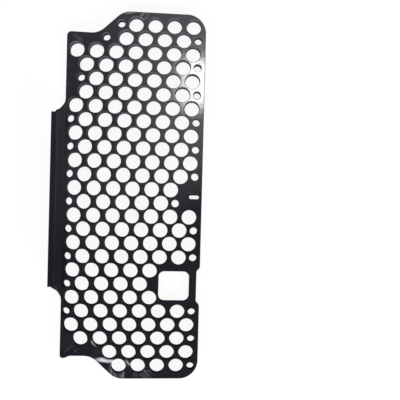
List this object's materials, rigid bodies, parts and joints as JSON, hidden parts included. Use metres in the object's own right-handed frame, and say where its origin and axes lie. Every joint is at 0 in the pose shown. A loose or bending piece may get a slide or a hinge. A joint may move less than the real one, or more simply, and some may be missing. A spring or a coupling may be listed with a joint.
{
  "type": "motorcycle radiator guard",
  "caption": "Flat perforated sheet guard for one motorcycle radiator, with a folded side flange, stepped corners, a square window and a tie slot.",
  "frame": {"origin": "on the floor, below the middle of the part's bounding box, with the flat back of the sheet at Z = 0", "axes": "+X from the folded outer side to the inner edge, +Y up the sheet as it is worn on the motorcycle, +Z from the back of the sheet to its front, the way the flange stands"},
  "size_m": [0.0974, 0.2484, 0.0165],
  "materials": {
    "coated_aluminium": "satin black powder coat over aluminium sheet, lightly scuffed at the corners"
  },
  "bodies": {
    "root": {"radiator_guard": "coated_aluminium"}
  },
  "joints": []
}
